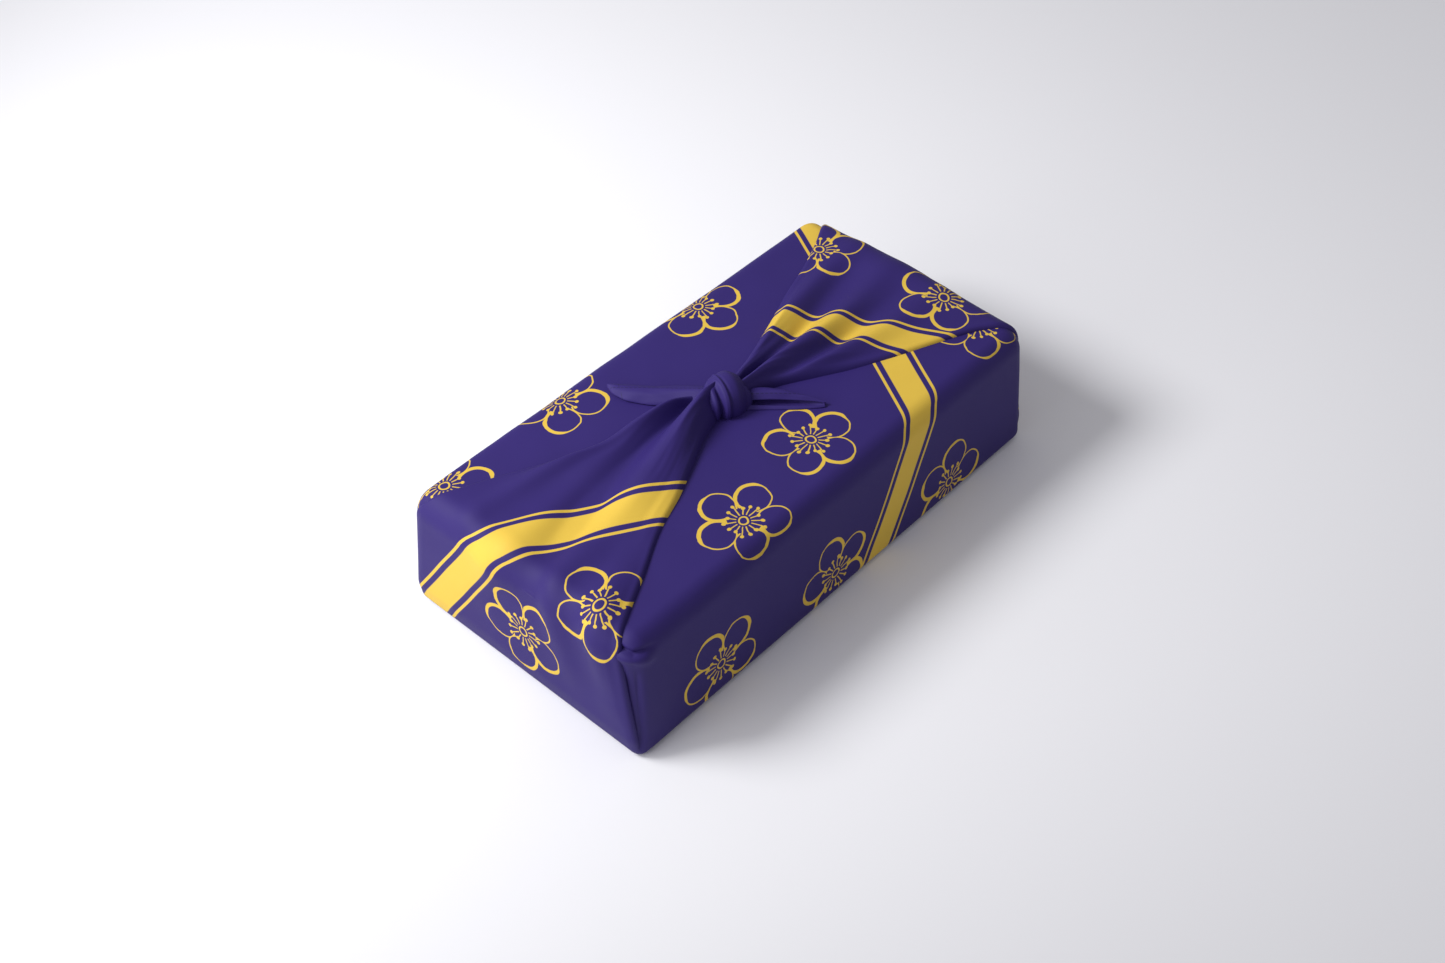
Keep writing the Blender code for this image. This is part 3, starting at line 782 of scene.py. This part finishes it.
def blossom_print(tree, u, v, blossoms):
    """Round five-petalled blossoms in outline, with stamens round a ringed eye."""
    x, y, (reach, turn, number) = nearest_blossom(u, v, blossoms)
    radius = (x * x + y * y).math("SQRT")
    angle = y.math("ARCTAN2", x) + turn
    fifth = math.tau / PETALS
    petal = (angle / fifth).math("FLOOR")
    p, q, _ = dice(tree, petal.math("FLOORED_MODULO", float(PETALS)), number * 3.0, 1.0)
    turned = angle - (petal + 0.5) * fifth
    along = radius * turned.math("COSINE") - reach * PETAL_PLACE
    across = radius * turned.math("SINE")
    size = PETAL_ROUND * (1 - PETAL_UNEVEN / 2 + PETAL_UNEVEN * q)
    brink = (along * along + across * across).math("SQRT") - reach * size
    side = (across * (p - 0.5).math("SIGN")).step(0.0, SIDE_CHANGE)
    stroke = STROKE * (THIN_STROKE + ADDED_STROKE * side)
    petals = line(brink, stroke) * radius.step(PETAL_ROOT, SOFT)
    part = math.tau / STAMENS
    stamen = (angle / part).math("FLOOR")
    aside = angle - (stamen + 0.5) * part
    length = ((stamen + 0.5) * (math.tau / 3)).math("SINE") * STAMEN_UNEVEN + STAMEN_LENGTH
    off_line = radius * aside.math("SINE")
    to_tip = radius * aside.math("COSINE") - length
    stem = line(off_line, STEM) * radius.step(STAMEN_START, SOFT) * (1 - to_tip.step(0.0, SOFT))
    anther = 1 - (off_line * off_line + to_tip * to_tip).math("SQRT").step(ANTHER, SOFT)
    eye = line(radius - EYE, EYE_STROKE)
    return petals.math("MAXIMUM", stem).math("MAXIMUM", anther).math("MAXIMUM", eye)


# A broad printed stripe with a thin line on each side: the direction it runs in, the place of its
# middle line and its half-width, in mm
Stripe = namedtuple("Stripe", "turn_deg place half_width")
RIM_GAP = 3.6  # mm from a stripe's edge to the thin line beside it
RIM_HALF_WIDTH = 0.75


def stripe_print(u, v, stripe):
    turn = math.radians(stripe.turn_deg)
    away = abs(v * math.cos(turn) - u * math.sin(turn) - stripe.place)
    band = 1 - away.step(stripe.half_width, SOFT * 2)
    return band.math("MAXIMUM", line(away - (stripe.half_width + RIM_GAP), RIM_HALF_WIDTH))


HEM = 3.0  # mm from a hemmed edge to its seam
EAR_TIP_HEM = 47.0  # mm along an ear to the seam across its tip
TIP_SLANT = 0.3
SEAM = 0.22  # half-width of a seam
STITCH = 2.2  # mm from stitch to stitch
STITCH_EDGE = -0.4  # under 0 for stitches longer than the gaps between them
STITCH_SOFT = 0.3

NAVY = (0.023, 0.011, 0.125)
YELLOW = (0.67, 0.450, 0.056)
HAND_SCALE = 0.11  # waves per mm of the unsteady hand that the blossoms are drawn with
HAND_SHIFT = (2.2, -1.8)  # mm by which it moves their lines
WEAR_SCALE = 0.03  # patches per mm of lighter and darker cloth
WEAR_DETAIL = 3
WEAR_LAYER = 5.0  # the third coordinate of its noise, which keeps it apart from the hand's
WEAR_RANGE = (0.92, 0.16)  # the darkest shade, and what the lightest adds
THREAD = 0.5  # mm between threads
WEAVE_SHADE = 0.03
SEAM_SHADE = 0.45
BUMP_STRENGTH = 0.25
BUMP_HEIGHT = 0.1 * MM
WEAVE_BUMP = 0.5
INK_BUMP = 0.4
CLOTH_ROUGHNESS = 0.66
CLOTH_SPECULAR = 0.30


def hem_print(u, v):
    """The shade of the seams along an ear's hemmed edges, near its far edge and across its tip."""
    stitches = (v * (math.tau / STITCH)).math("SINE").step(STITCH_EDGE, STITCH_SOFT)
    tip = line(v - EAR_TIP_HEM + u * TIP_SLANT, SEAM)
    return line(u - HEM, SEAM).math("MAXIMUM", tip) * stitches


def patches(tree, u, v, layer, scale, detail=None):
    """Soft noise from 0 to 1 over the cloth."""
    node = tree.nodes.new("ShaderNodeTexNoise")
    node.inputs["Scale"].default_value = scale
    if detail is not None:
        node.inputs["Detail"].default_value = detail
    tree.links.new(join_vector(tree, u, v, layer).socket, node.inputs["Vector"])
    return Term(tree, node.outputs["Fac"])


def mix_colours(tree, kind, share):
    """A node that mixes two colours, with its two colour inputs and its colour output."""
    node = tree.nodes.new("ShaderNodeMix")
    node.data_type = "RGBA"
    node.blend_type = kind
    plug(tree, share, node.inputs[0])
    sides = [s for s in node.inputs if s.type == "RGBA"]
    result = [s for s in node.outputs if s.type == "RGBA"][0]
    return sides, result


def cloth_material(name, blossoms, stripes, hemmed=False):
    """Printed cotton: navy with yellow blossoms and stripes, and a fine weave."""
    made = bpy.data.materials.new(name)
    made.use_nodes = True
    tree = made.node_tree
    shader = tree.nodes["Principled BSDF"]
    u, v = cloth_place(tree)

    inks = [stripe_print(u, v, stripe) for stripe in stripes]
    if blossoms:
        hand = patches(tree, u, v, 0.0, HAND_SCALE) - 0.5
        inks.append(blossom_print(tree, u + hand * HAND_SHIFT[0], v + hand * HAND_SHIFT[1], blossoms))
    ink = inks.pop() if inks else 0.0
    for other in inks:
        ink = ink.math("MAXIMUM", other)

    darkest, added = WEAR_RANGE
    shade = patches(tree, u, v, WEAR_LAYER, WEAR_SCALE, WEAR_DETAIL) * added + darkest
    turn = math.sqrt(0.5) * math.tau / THREAD
    weave = ((u + v) * turn).math("SINE") * ((u - v) * turn).math("SINE")
    shade = shade + weave * WEAVE_SHADE
    if hemmed:
        shade = shade - hem_print(u, v) * SEAM_SHADE

    printed_sides, printed = mix_colours(tree, "MIX", ink)
    printed_sides[0].default_value = (*NAVY, 1)
    printed_sides[1].default_value = (*YELLOW, 1)
    grey = tree.nodes.new("ShaderNodeCombineColor")
    for socket in grey.inputs:
        plug(tree, shade, socket)
    shaded_sides, shaded = mix_colours(tree, "MULTIPLY", 1.0)
    tree.links.new(printed, shaded_sides[0])
    tree.links.new(grey.outputs[0], shaded_sides[1])
    tree.links.new(shaded, shader.inputs["Base Color"])

    bumps = tree.nodes.new("ShaderNodeBump")
    bumps.inputs["Strength"].default_value = BUMP_STRENGTH
    bumps.inputs["Distance"].default_value = BUMP_HEIGHT
    plug(tree, weave * WEAVE_BUMP + ink * INK_BUMP, bumps.inputs["Height"])
    tree.links.new(bumps.outputs[0], shader.inputs["Normal"])
    shader.inputs["Roughness"].default_value = CLOTH_ROUGHNESS
    shader.inputs["Specular IOR Level"].default_value = CLOTH_SPECULAR
    return made


BOARD_DARK = (0.40, 0.38, 0.35, 1)
BOARD_LIGHT = (0.52, 0.50, 0.46, 1)
BOARD_ROUGHNESS = 0.8
FIBRE_SCALE = 900  # per metre
FIBRE_DETAIL = 6


def board_material():
    """Grey pressed board with fine fibres, for the box."""
    made = bpy.data.materials.new("grey_board")
    made.use_nodes = True
    tree = made.node_tree
    shader = tree.nodes["Principled BSDF"]
    place = tree.nodes.new("ShaderNodeTexCoord")
    fibres = tree.nodes.new("ShaderNodeTexNoise")
    fibres.inputs["Scale"].default_value = FIBRE_SCALE
    fibres.inputs["Detail"].default_value = FIBRE_DETAIL
    tree.links.new(place.outputs["Object"], fibres.inputs["Vector"])
    ramp = tree.nodes.new("ShaderNodeValToRGB")
    ramp.color_ramp.elements[0].color = BOARD_DARK
    ramp.color_ramp.elements[1].color = BOARD_LIGHT
    tree.links.new(fibres.outputs["Fac"], ramp.inputs["Fac"])
    tree.links.new(ramp.outputs["Color"], shader.inputs["Base Color"])
    shader.inputs["Roughness"].default_value = BOARD_ROUGHNESS
    return made


# Where the blossoms and stripes are on each sheet's flat cloth
BODY_BLOSSOMS = (
    Blossom(-52, -56, 25, 10),
    Blossom(8, -44, 24, 40),
    Blossom(128, -52, 25, 25),
    Blossom(-88, -124, 25, 60),
    Blossom(-8, -128, 24, 5),
    Blossom(80, -132, 25, 33),
    Blossom(44, 66, 25, 50),
    Blossom(-52, 68, 25, 20),
    Blossom(-128, 66, 24, 0),
    Blossom(-96, 124, 25, 47),
    Blossom(0, 126, 25, 12),
    Blossom(96, 120, 25, 33),
)
FRONT_BLOSSOMS = (
    Blossom(-44, 8, 25, 15),
    Blossom(-2, -36, 25, 50),
)
BACK_BLOSSOMS = (
    Blossom(-26, 12, 25, 40),
    Blossom(46, 24, 24, 20),
    Blossom(4, -46, 25, 30),
    Blossom(-52, -48, 25, 10),
)
BODY_STRIPES = (Stripe(62, -87, 7),)
FRONT_STRIPES = (Stripe(122, -17, 7),)
BACK_STRIPES = (Stripe(30, 60, 7),)


# Light and floor

KEY_PLACE = (-0.553, 0.479, 0.755)
KEY_AIM = (0.676, 0.083, 0)
KEY_POWER = 49
KEY_CONE = math.radians(106)
KEY_SIZE = 0.20
NEAR_PLACE = (-0.52, 0.08, 0.27)
NEAR_AIM = (-0.1, 0, 0.05)
NEAR_POWER = 1.15
NEAR_SIZE = 0.35
SURROUND = (0.97, 0.96, 1.0, 1)
SURROUND_STRENGTH = 0.40
FLOOR_SIZE = 12
FLOOR_COLOUR = (0.86, 0.86, 0.89, 1)
FLOOR_ROUGHNESS = 0.7


def add_lamp(name, kind, place, aim, power):
    lamp = bpy.data.lights.new(name, kind)
    lamp.energy = power
    made = bpy.data.objects.new(name, lamp)
    made.location = place
    made.rotation_euler = (Vector(aim) - Vector(place)).to_track_quat("-Z", "Y").to_euler()
    SCENE.collection.objects.link(made)
    return lamp


def add_light():
    key = add_lamp("key", "SPOT", KEY_PLACE, KEY_AIM, KEY_POWER)
    key.spot_size = KEY_CONE
    key.spot_blend = 1.0
    key.shadow_soft_size = KEY_SIZE
    near = add_lamp("near", "AREA", NEAR_PLACE, NEAR_AIM, NEAR_POWER)
    near.size = NEAR_SIZE
    world = bpy.data.worlds.new("studio")
    SCENE.world = world
    world.use_nodes = True
    background = world.node_tree.nodes["Background"]
    background.inputs["Color"].default_value = SURROUND
    background.inputs["Strength"].default_value = SURROUND_STRENGTH


def add_floor():
    bpy.ops.mesh.primitive_plane_add(size=FLOOR_SIZE)
    floor = bpy.context.object
    floor.name = "floor"
    made = bpy.data.materials.new("pale_floor")
    made.use_nodes = True
    tree = made.node_tree
    shader = tree.nodes["Principled BSDF"]
    shader.inputs["Base Color"].default_value = FLOOR_COLOUR
    shader.inputs["Roughness"].default_value = FLOOR_ROUGHNESS
    floor.data.materials.append(made)


def dress(piece, finish):
    """Gives a sheet of the cloth its finish, hangs it from the root body and hides the part's wrap."""
    piece.data.materials.append(finish)
    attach(piece, "root")
    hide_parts("wrap")


def main():
    add_camera()
    SCENE.view_settings.view_transform = "Standard"
    add_light()
    add_floor()
    board = board_material()
    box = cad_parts["box"]
    box.data.materials.clear()
    box.data.materials.append(board)

    body_cloth = cloth_material("cloth_body", BODY_BLOSSOMS, BODY_STRIPES)
    front_cloth = cloth_material("cloth_front", FRONT_BLOSSOMS, FRONT_STRIPES)
    back_cloth = cloth_material("cloth_back", BACK_BLOSSOMS, BACK_STRIPES)
    knot_cloth = cloth_material("cloth_knot", (), ())
    ear_cloth = cloth_material("cloth_ears", (), (), True)

    body = add_body()
    front = add_end_flap("front_flap", -1, FRONT_EDGES, FRONT_FOLDS, 11)
    back = add_end_flap("back_flap", 1, BACK_EDGES, BACK_FOLDS, 21)
    dress(body, body_cloth)
    dress(front, front_cloth)
    dress(back, back_cloth)
    dress(add_core(), ear_cloth)
    dress(add_strap(), knot_cloth)
    left = add_ear("left_ear", LEFT_EAR, 31)
    dress(left, ear_cloth)
    right = add_ear("right_ear", RIGHT_EAR, 37)
    dress(right, ear_cloth)


main()
